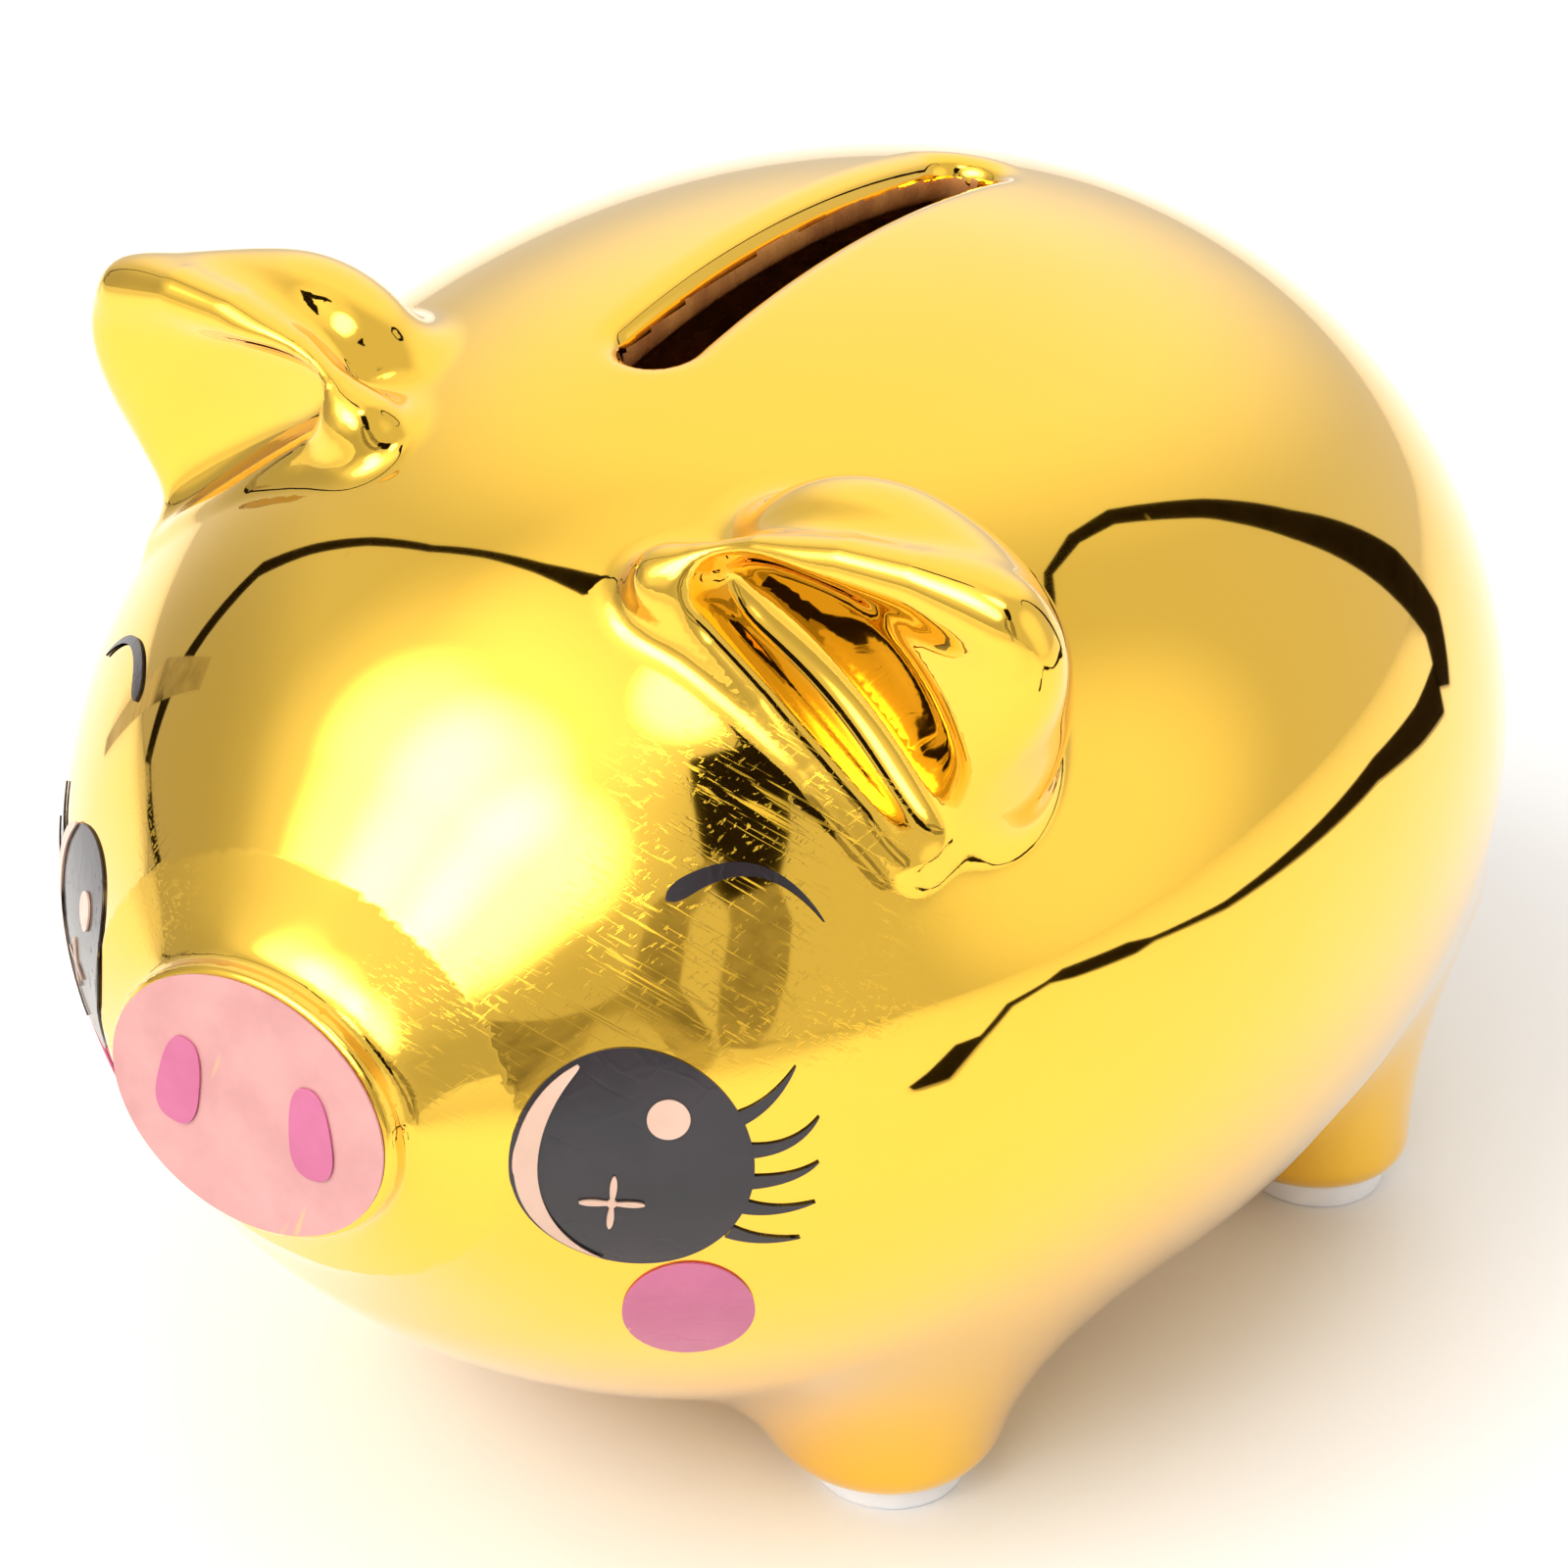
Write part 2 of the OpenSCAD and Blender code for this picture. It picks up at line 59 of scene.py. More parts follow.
FOOT_R, FOOT_EDGE, FOOT_Z, FOOT_TOP, LEG_BLEND = 7.1, 2.4, 2.0, 30.0, 12.0
FEET = [(20.2, -16.7), (-20.2, -16.7), (28, 33.1), (-28, 33.1)]
PAD_R, PAD_T = 5.4, 2.0
SLOT_Y, SLOT_L, SLOT_W, SLOT_BOTTOM = 0.8, 41.0, 4.7, 60.0
HOLE_Y, HOLE_R, HOLE_RISE, SEAT_R, SEAT_Z = 10.3, 13.0, 8.0, 17.1, 5.6
CAVITY_FLOOR = 9.1
TAIL_Z, TAIL_R, TAIL_D, TAIL_REACH = 50.0, 4.4, 4.2, 10
SLOT_ROUND, HOLE_ROUND, CAVITY_ROUND, TAIL_BLEND = 2.4, 0.9, 1.2, 0.8


# ---------------------------------------------------------------- distance functions of the clay
def soft_min(a, b, k):
    h = np.maximum(k - np.abs(a - b), 0) / k
    return np.minimum(a, b) - h * h * k / 4


def soft_max(a, b, k):
    return -soft_min(-a, -b, k)


def egg(p, c, r):
    q = (p - c) / r
    k0 = np.sqrt((q * q).sum(-1)) + 1e-9
    q = q / r
    return k0 * (k0 - 1) / (np.sqrt((q * q).sum(-1)) + 1e-9)


def rounded(a, b, e):
    return np.minimum(np.maximum(a, b) + e, 0) + np.hypot(np.maximum(a + e, 0), np.maximum(b + e, 0)) - e


def trunk(p):
    both = soft_min(egg(p, BODY_C, BODY_R), egg(p, HEAD_C, HEAD_R), NECK_BLEND)
    return soft_max(both, BELLY_Z - p[..., 2], BELLY_BLEND)


def foot(p, at):
    mid, half = (FOOT_Z + FOOT_TOP) / 2, (FOOT_TOP - FOOT_Z) / 2
    beside = np.hypot(p[..., 0] - at[0], p[..., 1] - at[1]) - FOOT_R
    return rounded(beside, np.abs(p[..., 2] - mid) - half, FOOT_EDGE)


def snout(p):
    q = p - SNOUT_C
    out = np.hypot(2 * q[..., 0] / SNOUT_W, 2 * (q @ SNOUT_V) / SNOUT_H) - 1
    return rounded(out * SNOUT_H / 2, np.abs(q @ SNOUT_A + SNOUT_DEPTH / 2) - SNOUT_DEPTH / 2, SNOUT_EDGE)


def snout_blend(p):
    """The joining width dies away towards the disc, so that the disc stays flat."""
    return SNOUT_BLEND * np.clip((SNOUT_C - p) @ SNOUT_A / SNOUT_FADE, 0.05, 1)


def face(p):
    return soft_min(trunk(p), snout(p), snout_blend(p))


# The left ear in its own axes: along the base, outwards, forwards
EAR_ROOT = np.array([22.2, -34.75, 69.8])
EAR_SLOPE = math.radians(39)
EAR_AXES = np.array([[math.cos(EAR_SLOPE), 0, -math.sin(EAR_SLOPE)],
                     [math.sin(EAR_SLOPE), 0, math.cos(EAR_SLOPE)], [0, -1, 0]])
EAR_STAGGER = np.array([0, 3.7, 1.4])
EAR_MIDDLE, EAR_REACH = EAR_ROOT + [2, 6, 4], 26
# Centre and radii of the dome, of the tip and of the pocket
EAR_DOME = (1.2, 2, -6.8), (12.4, 11.4, 7.4)
EAR_TIP = (4.8, 11.2, -3.2), (4.6, 5.0, 3.3)
EAR_POCKET = (0.8, 1.5, 0.5), (10.9, 7.1, 3.5)
# Rolled lip along the ear's base and ridge round its edge: points and radii
EAR_LIP = [(-10.7, -1.2, 0.2), (-6.5, -0.3, 0.5), (-2, 0.3, 0.2), (3, 0.6, 0), (7.5, 0.4, -0.2),
           (10.8, -0.6, -0.6)]
EAR_LIP_R = [1.9, 1.5, 1.3, 1.2, 1.2, 1.0]
EAR_RIDGE = [(-10.7, -0.8, 0.2), (-10, 1.8, 0), (-8.2, 5.2, -0.4), (-4.6, 9.6, -0.9), (-1, 12.6, -1.3),
             (3.8, 15, -2.4)]
EAR_RIDGE_R = [1.9, 1.5, 1.3, 1.2, 1.1, 0.8]


def rope(p, points, radii):
    """Distance to a round rope through the points, tapering from radius to radius."""
    best = np.full(p.shape[:-1], 1e9)
    for a, b, ra, rb in zip(points, points[1:], radii, radii[1:]):
        a, along = np.array(a, float), np.array(b, float) - a
        t = np.clip(((p - a) @ along) / (along @ along), 0, 1)
        best = np.minimum(best, np.linalg.norm(p - a - t[..., None] * along, axis=-1) - ra * (1 - t) - rb * t)
    return best


def add_ear(d, p):
    """A domed back, a flat front with a ridge round it, the lip along the base and the pocket above it."""
    q = (p - EAR_ROOT) @ EAR_AXES.T
    outwards, forwards = q[..., 1], q[..., 2]
    ear = soft_min(egg(q, *EAR_DOME), egg(q, *EAR_TIP), 6.5)
    ear = soft_max(ear, forwards + 0.7 + 0.05 * (14 - outwards), 1.6)
    ear = soft_min(ear, rope(q, EAR_RIDGE, EAR_RIDGE_R), 3.0)
    ear = soft_min(ear, rope(q, EAR_LIP, EAR_LIP_R), 2.4)
    d = soft_min(d, ear, 2.6)
    pocket = soft_max(egg(q, *EAR_POCKET), 0.7 - outwards, 2.4)
    return soft_max(d, -pocket, 1.5)


def add_right_ear(d, p):
    return add_ear(d, (p - EAR_STAGGER) * MIRROR)


def near(p, c, r):
    return ((p - c) ** 2).sum(-1) < r * r


def only_near(fn, d, p, c, r):
    m = near(p, np.array(c), r)
    if m.any():
        d = d.copy()
        d[m] = fn(d[m], p[m])
    return d


def rump_y():
    """Where the back of the trunk lies at the tail's height, found by halving."""
    lo, hi = 10.0, 90.0
    for _ in range(30):
        mid = (lo + hi) / 2
        lo, hi = (mid, hi) if trunk(np.array([0, mid, TAIL_Z])) < 0 else (lo, mid)
    return lo


RUMP = rump_y()
TAIL_T = np.linspace(0, 1, 25)
TAIL_A = np.radians(90 + 400 * TAIL_T)
TAIL_SPAN = TAIL_R * (1 - 0.45 * TAIL_T) - TAIL_D / 2
TAIL_X, TAIL_UP = TAIL_SPAN * np.cos(TAIL_A), TAIL_SPAN * np.sin(TAIL_A)
TAIL_OUT = RUMP + TAIL_D * (0.25 + 0.5 * TAIL_T) - (1 - TAIL_T) * 0.4 * TAIL_D
TAIL_P = np.stack([TAIL_X, TAIL_OUT, TAIL_Z + TAIL_UP], -1)
TAIL_W = TAIL_D / 2 * (1 - 0.55 * TAIL_T)


def add_tail(d, p):
    return soft_min(d, rope(p, TAIL_P, TAIL_W), TAIL_BLEND)


def skin(p):
    """Outside of the casting, before the slot and the hole are cut."""
    d = trunk(p)
    for at in FEET:
        d = soft_min(d, foot(p, at), LEG_BLEND)
    d = soft_min(d, snout(p), snout_blend(p))
    d = only_near(add_ear, d, p, EAR_MIDDLE, EAR_REACH)
    d = only_near(add_right_ear, d, p, EAR_MIDDLE * MIRROR + EAR_STAGGER, EAR_REACH)
    return only_near(add_tail, d, p, (0, RUMP, TAIL_Z), TAIL_REACH)


def hollow(p):
    return soft_max(trunk(p) + WALL, CAVITY_FLOOR - p[..., 2], BELLY_BLEND)


def slot(p):
    y = np.maximum(np.abs(p[..., 1] - SLOT_Y) - (SLOT_L - SLOT_W) / 2, 0)
    return np.maximum(np.hypot(p[..., 0], y) - SLOT_W / 2, SLOT_BOTTOM - p[..., 2])


def hole(p):
    r = np.hypot(p[..., 0], p[..., 1] - HOLE_Y)
    through = np.maximum(r - HOLE_R, p[..., 2] - CAVITY_FLOOR - HOLE_RISE)
    return np.minimum(through, np.maximum(r - SEAT_R, p[..., 2] - SEAT_Z))


def casting(p):
    d = skin(p)
    d = soft_max(d, -slot(p), SLOT_ROUND)
    d = soft_max(d, -hole(p), HOLE_ROUND)
    return soft_max(d, -hollow(p), CAVITY_ROUND)


def gradient(fn, p, e=0.03):
    g = np.zeros_like(p)
    for k in range(3):
        o = np.zeros(3)
        o[k] = e
        g[:, k] = fn(p + o) - fn(p - o)
    return g / (2 * e)


# ---------------------------------------------------------------- mesh of a distance function
CORNERS = [(i, j, k) for i in (0, 1) for j in (0, 1) for k in (0, 1)]
BLOCK = 4    # cells along a block's side
FAR = 9.0    # value given to the blocks that the surface can't cross
SETTLE_STEPS = 4


def spread(a):
    """Each block's value repeated over its cells, and the last layer once more."""
    for axis in range(3):
        a = np.repeat(a, BLOCK, axis)
    return np.pad(a, ((0, 1),) * 3, mode="edge")


def sample(fn, lo, hi, h):
    """Values on a grid of pitch h, worked out only in the blocks that the surface can cross."""
    blocks = np.ceil((np.array(hi) - lo) / h / BLOCK).astype(int)
    lines = [lo[i] + h * BLOCK * np.arange(blocks[i] + 1) for i in range(3)]
    coarse = np.stack(np.meshgrid(*lines, indexing="ij"), -1)
    rough = fn(coarse.reshape(-1, 3)).reshape(coarse.shape[:3])
    at_corner = [rough[i:i + blocks[0], j:j + blocks[1], k:k + blocks[2]] for i, j, k in CORNERS]
    low, high = np.min(at_corner, axis=0), np.max(at_corner, axis=0)
    reach = BLOCK * h * 1.8
    full = spread(np.where(low + high > 0, FAR, -FAR))
    mask = spread((low < reach) & (high > -reach))
    for axis in range(3):
        mask |= np.roll(mask, 1, axis)
    at = np.argwhere(mask)
    full[mask] = fn(np.array(lo) + at * h)
    return full


def surface(fn, lo, hi, h):
    """Quads of the surface fn = 0: one vertex a cell, then moved onto the surface itself."""
    v = sample(fn, lo, hi, h)
    inside = v < 0
    shape = np.array(v.shape) - 1
    total, hits = np.zeros((*shape, 3)), np.zeros(shape)

    def corner(i, j, k):
        return v[i:i + shape[0], j:j + shape[1], k:k + shape[2]]

    for axis in range(3):
        for a in (0, 1):
            for b in (0, 1):
                start = [a, b]
                start.insert(axis, 0)
                end = list(start)
                end[axis] = 1
                v0, v1 = corner(*start), corner(*end)
                cross = (v0 < 0) != (v1 < 0)
                t = np.where(cross, v0 / np.where(cross, v0 - v1, 1), 0)
                for k in range(3):
                    total[..., k] += np.where(cross, start[k] + (t if k == axis else 0), 0)
                hits += cross
    used = hits > 0
    index = np.full(shape, -1)
    index[used] = np.arange(used.sum())
    at = np.argwhere(used)
    p = np.array(lo) + h * (at + total[used] / hits[used][:, None])
    quads = []
    for axis in range(3):
        one = [slice(None)] * 3
        one[axis] = slice(1, None)
        two = [slice(None)] * 3
        two[axis] = slice(None, -1)
        cross = inside[tuple(two)] != inside[tuple(one)]
        e = np.argwhere(cross)
        a, b = [k for k in range(3) if k != axis]
        e = e[(e[:, a] > 0) & (e[:, b] > 0) & (e[:, a] < shape[a]) & (e[:, b] < shape[b])]
        ids = []
        for da, db in ((1, 1), (0, 1), (0, 0), (1, 0)):
            c = e.copy()
            c[:, a] -= da
            c[:, b] -= db
            ids.append(index[tuple(c.T)])
        q = np.stack(ids, -1)
        out = inside[tuple(e.T)]
        flip = out if axis != 1 else ~out
        q = np.where(flip[:, None], q, q[:, ::-1])
        quads.append(q[(q >= 0).all(-1)])
    quads = np.concatenate(quads)
    for _ in range(SETTLE_STEPS):
        g = gradient(fn, p)
        move = fn(p) / np.maximum((g * g).sum(-1), 0.2)
        p -= np.clip(move, -h / 2, h / 2)[:, None] * g
    g = gradient(fn, p)
    return p, quads, g / (np.linalg.norm(g, axis=-1)[:, None] + 1e-12)


def mesh_of(name, points, faces, normals=None, mats=(), which=None):
    """A named object from points in millimetres."""
    me = bpy.data.meshes.new(name)
    if isinstance(faces, np.ndarray):
        faces = faces.tolist()
    me.from_pydata((np.asarray(points) * MM).tolist(), [], faces)
    me.update()
    for m in mats:
        me.materials.append(m)
    if which is not None:
        me.polygons.foreach_set("material_index", which.astype(np.int32))
    me.polygons.foreach_set("use_smooth", np.ones(len(me.polygons), bool))
    if normals is not None:
        me.normals_split_custom_set_from_vertices(normals.tolist())
    ob = bpy.data.objects.new(name, me)
    bpy.context.scene.collection.objects.link(ob)
    return ob


# ---------------------------------------------------------------- node helpers
def new_material(name):
    m = bpy.data.materials.new(name)
    m.use_nodes = True
    nt = m.node_tree
    return m, nt, nt.nodes["Principled BSDF"]


def math_node(nt, op, *args, clamp=False):
    n = nt.nodes.new("ShaderNodeMath")
    n.operation = op
    n.use_clamp = clamp
    for i, a in enumerate(args):
        if isinstance(a, bpy.types.NodeSocket):
            nt.links.new(a, n.inputs[i])
        else:
            n.inputs[i].default_value = a
    return n.outputs[0]


def add(nt, a, b):
    return math_node(nt, "ADD", a, b)


def times(nt, a, b):
    return math_node(nt, "MULTIPLY", a, b)


def larger(nt, a, b):
    return math_node(nt, "MAXIMUM", a, b)


def vec_node(nt, op, a, b=None):
    n = nt.nodes.new("ShaderNodeVectorMath")
    n.operation = op
    for i, v in enumerate((a, b)):
        if isinstance(v, bpy.types.NodeSocket):
            nt.links.new(v, n.inputs[i])
        elif v is not None:
            n.inputs[i].default_value = v
    return n.outputs["Value"] if op in ("DOT_PRODUCT", "LENGTH", "DISTANCE") else n.outputs["Vector"]


def remap(nt, value, a, b, c=0.0, d=1.0):
    """Smooth change from c to d while the value goes from a to b."""
    n = nt.nodes.new("ShaderNodeMapRange")
    n.interpolation_type = "SMOOTHSTEP"
    nt.links.new(value, n.inputs["Value"])
    for k, v in zip(("From Min", "From Max", "To Min", "To Max"), (a, b, c, d)):
        n.inputs[k].default_value = v
    return n.outputs["Result"]


def mix_colour(nt, fac, a, b):
    n = nt.nodes.new("ShaderNodeMix")
    n.data_type = "RGBA"
    for sock, v in ((n.inputs[0], fac), (n.inputs[6], a), (n.inputs[7], b)):
        if isinstance(v, bpy.types.NodeSocket):
            nt.links.new(v, sock)
        else:
            sock.default_value = v
    return n.outputs[2]


def noise(nt, vector, scale, detail):
    n = nt.nodes.new("ShaderNodeTexNoise")
    nt.links.new(vector, n.inputs["Vector"])
    n.inputs["Scale"].default_value = scale
    n.inputs["Detail"].default_value = detail
    n.inputs["Roughness"].default_value = 0.55
    return n.outputs["Fac"]


def stretched(nt, position, along, across, ratio):
    """Position squeezed along one direction, so that noise of it draws long thin streaks that way."""
    a = Vector(along).normalized()
    b = (Vector(across) - Vector(across).dot(a) * a).normalized()
    c = a.cross(b)
    n = nt.nodes.new("ShaderNodeCombineXYZ")
    for i, (d, k) in enumerate(((a, ratio), (b, 1.0), (c, 1.0))):
        nt.links.new(vec_node(nt, "DOT_PRODUCT", position, tuple(d * k)), n.inputs[i])
    return n.outputs[0]


def position(nt):
    return nt.nodes.new("ShaderNodeTexCoord").outputs["Object"]


def blob(nt, pos, centre, inner, outer):
    """1 within inner millimetres of the centre, 0 beyond outer."""
    far = vec_node(nt, "DISTANCE", pos, tuple(np.array(centre) * MM))
    return remap(nt, far, inner * MM, outer * MM, 1.0, 0.0)


def bump(nt, height, distance, strength=1.0):
    n = nt.nodes.new("ShaderNodeBump")
    nt.links.new(height, n.inputs["Height"])
    n.inputs["Distance"].default_value = distance * MM
    n.inputs["Strength"].default_value = strength
    return n.outputs["Normal"]


def streaks(nt, pos, along, across, scale, low, high, ratio):
    """Thin random lines: 1 on a line, 0 between the lines."""
    v = noise(nt, stretched(nt, pos, along, across, ratio), scale, 2.0)
    return remap(nt, v, low, high)


# ---------------------------------------------------------------- materials
SCRATCH_DIR = (0.826, 0.342, -0.448)
CROSS_DIR = (0.631, 0.413, 0.657)


def gold_material():
    """Gold plating under a clear glaze, with faint waves, dust and handling marks."""
    m, nt, b = new_material("gold_plating")
    pos = position(nt)
    b.inputs["Metallic"].default_value = 1.0
    b.inputs["Coat Weight"].default_value = 0.6
    b.inputs["Coat Roughness"].default_value = 0.03
    b.inputs["Coat IOR"].default_value = 1.5
    tone = remap(nt, noise(nt, pos, 28, 4), 0.3, 0.7)
    nt.links.new(mix_colour(nt, tone, (1.0, 0.595, 0.046, 1), (1.0, 0.61, 0.056, 1)), b.inputs["Base Color"])
    # Handling marks on the face: fine hatching, denser on the cheek and round the snout
    cheek = blob(nt, pos, (24, -42, 61), 7, 15)
    left_of_snout = blob(nt, pos, (13, -56, 52), 3, 12)
    right_of_snout = times(nt, blob(nt, pos, (-14, -54, 53), 3, 12), 0.9)
    worn = larger(nt, larger(nt, cheek, left_of_snout), right_of_snout)
    patchy = remap(nt, noise(nt, pos, 90, 3), 0.38, 0.62)
    worn = times(nt, worn, add(nt, times(nt, patchy, 0.75), 0.25))
    main = streaks(nt, pos, SCRATCH_DIR, (0, 0, 1), 4200, 0.56, 0.66, 0.012)
    crossing = streaks(nt, pos, CROSS_DIR, (0, 0, 1), 3200, 0.60, 0.68, 0.012)
    lines = times(nt, larger(nt, main, times(nt, crossing, 0.8)), worn)
    ripple = noise(nt, pos, 45, 2)
    dimple = noise(nt, pos, 420, 2)
    height = add(nt, times(nt, lines, -1.0), times(nt, dimple, 0.05))
    height = add(nt, height, times(nt, ripple, 0.5))
    nt.links.new(bump(nt, height, 0.004), b.inputs["Normal"])
    haze = times(nt, add(nt, lines, times(nt, worn, 0.1)), 0.38)
    dust = times(nt, remap(nt, noise(nt, pos, 700, 2), 0.7, 0.78), 0.05)
    rough = math_node(nt, "ADD", add(nt, haze, dust), 0.035, clamp=True)
    nt.links.new(rough, b.inputs["Roughness"])
    return m


def inside_material():
    """Clay inside the shell: brown, with thin glaze and plating that ran in through the slot."""
    m, nt, b = new_material("clay_inside")
    pos = position(nt)
    run = remap(nt, noise(nt, stretched(nt, pos, (0, 0, 1), (0, 1, 0), 0.15), 260, 3), 0.35, 0.7)
    nt.links.new(mix_colour(nt, run, (0.42, 0.17, 0.055, 1), (0.70, 0.33, 0.10, 1)), b.inputs["Base Color"])
    b.inputs["Metallic"].default_value = 0.15
    rough = remap(nt, noise(nt, pos, 500, 3), 0.3, 0.7, 0.18, 0.42)
    nt.links.new(rough, b.inputs["Roughness"])
    nt.links.new(bump(nt, noise(nt, pos, 900, 3), 0.05, 0.6), b.inputs["Normal"])
    return m


def film_material(name, colour, second, rough, crinkle, gold_lines=0.0):
    """Printed transfer film with crinkles, fine scratches and small tone changes."""
    m, nt, b = new_material(name)
    pos = position(nt)
    tone = remap(nt, noise(nt, pos, 220, 4), 0.3, 0.7)
    base = mix_colour(nt, tone, (*colour, 1), (*second, 1))
    scratch = streaks(nt, pos, SCRATCH_DIR, (1, 0, 0), 1300, 0.6, 0.68, 0.04)
    scratch = times(nt, scratch, remap(nt, noise(nt, pos, 120, 2), 0.4, 0.6))
    if gold_lines:
        thin = streaks(nt, pos, (0.3, 0.2, 0.93), (1, 0, 0), 700, 0.69, 0.73, 0.05)
        base = mix_colour(nt, times(nt, thin, gold_lines), base, (0.9, 0.45, 0.12, 1))
    nt.links.new(base, b.inputs["Base Color"])
    rough_v = add(nt, times(nt, scratch, 0.18), rough)
    nt.links.new(rough_v, b.inputs["Roughness"])
    fold = nt.nodes.new("ShaderNodeTexVoronoi")
    fold.feature = "DISTANCE_TO_EDGE"
    warp = noise(nt, pos, 300, 2)
    moved = nt.nodes.new("ShaderNodeVectorMath")
    moved.operation = "MULTIPLY_ADD"
    nt.links.new(warp, moved.inputs[0])
    moved.inputs[1].default_value = (0.002, 0.002, 0.002)
    nt.links.new(pos, moved.inputs[2])
    nt.links.new(moved.outputs[0], fold.inputs["Vector"])
    fold.inputs["Scale"].default_value = 420
    ridge = remap(nt, fold.outputs["Distance"], 0.0, 0.12, 1.0, 0.0)
    height = add(nt, times(nt, ridge, crinkle), times(nt, scratch, -0.6))
    height = add(nt, height, times(nt, noise(nt, pos, 160, 3), 2.0 * crinkle))
    nt.links.new(bump(nt, height, 0.02), b.inputs["Normal"])
    b.inputs["Coat Weight"].default_value = 0.25
    b.inputs["Coat Roughness"].default_value = 0.12
    b.inputs["Specular IOR Level"].default_value = 0.5
    return m


def rubber_material(name, colour, second, rough):
    """Soft pale rubber with small tone changes and a fine grain."""
    m, nt, b = new_material(name)
    pos = position(nt)
    tone = remap(nt, noise(nt, pos, 260, 4), 0.3, 0.7)
    nt.links.new(mix_colour(nt, tone, (*colour, 1), (*second, 1)), b.inputs["Base Color"])
    rough_v = remap(nt, noise(nt, pos, 600, 3), 0.3, 0.7, rough - 0.08, rough + 0.1)
    nt.links.new(rough_v, b.inputs["Roughness"])
    nt.links.new(bump(nt, noise(nt, pos, 1500, 3), 0.03, 0.5), b.inputs["Normal"])
    b.inputs["Subsurface Weight"].default_value = 0.25
    b.inputs["Subsurface Radius"].default_value = (0.002, 0.002, 0.002)
    b.inputs["Subsurface Scale"].default_value = 1.0
    return m


gold = gold_material()
inside = inside_material()
black_film = film_material("black_film", (0.012, 0.009, 0.011), (0.022, 0.014, 0.018), 0.22, 0.35)
pink_film = film_material("pink_film", (0.52, 0.235, 0.225), (0.60, 0.29, 0.27), 0.30, 0.30, 0.5)
rose_film = film_material("rose_film", (0.47, 0.092, 0.205), (0.52, 0.115, 0.24), 0.30, 0.2, 0.35)
cream_film = film_material("cream_film", (0.62, 0.40, 0.29), (0.68, 0.45, 0.34), 0.3, 0.2)
pad_rubber = rubber_material("pad_rubber", (0.80, 0.81, 0.85), (0.86, 0.87, 0.90), 0.42)
stopper_rubber = rubber_material("stopper_rubber", (0.72, 0.72, 0.70), (0.80, 0.80, 0.78), 0.5)

# ---------------------------------------------------------------- shell
INSIDE_DEPTH = 1.6    # faces deeper than this show the clay, not the plating
lo, hi = np.array([-47.5, -63.5, 0.5]), np.array([47.5, 63.5, 87.0])
pitch = 0.55
pts, quads, nrm = surface(casting, lo, hi, pitch)
centres = pts[quads].mean(1)
deep = (skin(centres) < -INSIDE_DEPTH).astype(int)
shell = mesh_of("shell_casting", pts, quads, nrm, (gold, inside), deep)
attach(shell, "bank")
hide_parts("shell")


# ---------------------------------------------------------------- transfers on the face
FILM_GAP, FILM = 0.03, 0.14
LIFT = FILM + FILM_GAP
FACE_REACH = 71.0    # further out than any point of the face


def ray(az, el):
    """Direction at a bearing from the front and a climb, in degrees."""
    a, e = math.radians(az), math.radians(el)
    return np.array([math.sin(a) * math.cos(e), -math.cos(a) * math.cos(e), math.sin(e)])


def on_face(az, el, uv):
    """Points of the face, (u, v) millimetres from the mark at bearing az and climb el, and their normals."""
    a, e = math.radians(az), math.radians(el)
    d0 = ray(az, el)
    u = np.array([math.cos(a), math.sin(a), 0])
    v = np.array([-math.sin(a) * math.sin(e), math.cos(a) * math.sin(e), math.cos(e)])

    def reach(fn, d):
        near_r, far_r = np.zeros(len(d)), np.full(len(d), FACE_REACH)
        for _ in range(30):
            mid = (near_r + far_r) / 2
            inner = fn(HEAD_C + mid[:, None] * d) < 0
            near_r, far_r = np.where(inner, mid, near_r), np.where(inner, far_r, mid)
        return near_r

    r0 = reach(trunk, d0[None])[0]
    d = d0 * r0 + uv[:, :1] * u + uv[:, 1:] * v
    d /= np.linalg.norm(d, axis=1)[:, None]
    p = HEAD_C + d * reach(face, d)[:, None]
    n = gradient(face, p)
    return p, n / np.linalg.norm(n, axis=1)[:, None]


def disc(s, t):
    """The square from -1 to 1 pressed into a round disc."""
    return s * np.sqrt(1 - t * t / 2), t * np.sqrt(1 - s * s / 2)


def turned(x, y, a):
    return x * math.cos(a) - y * math.sin(a), x * math.sin(a) + y * math.cos(a)


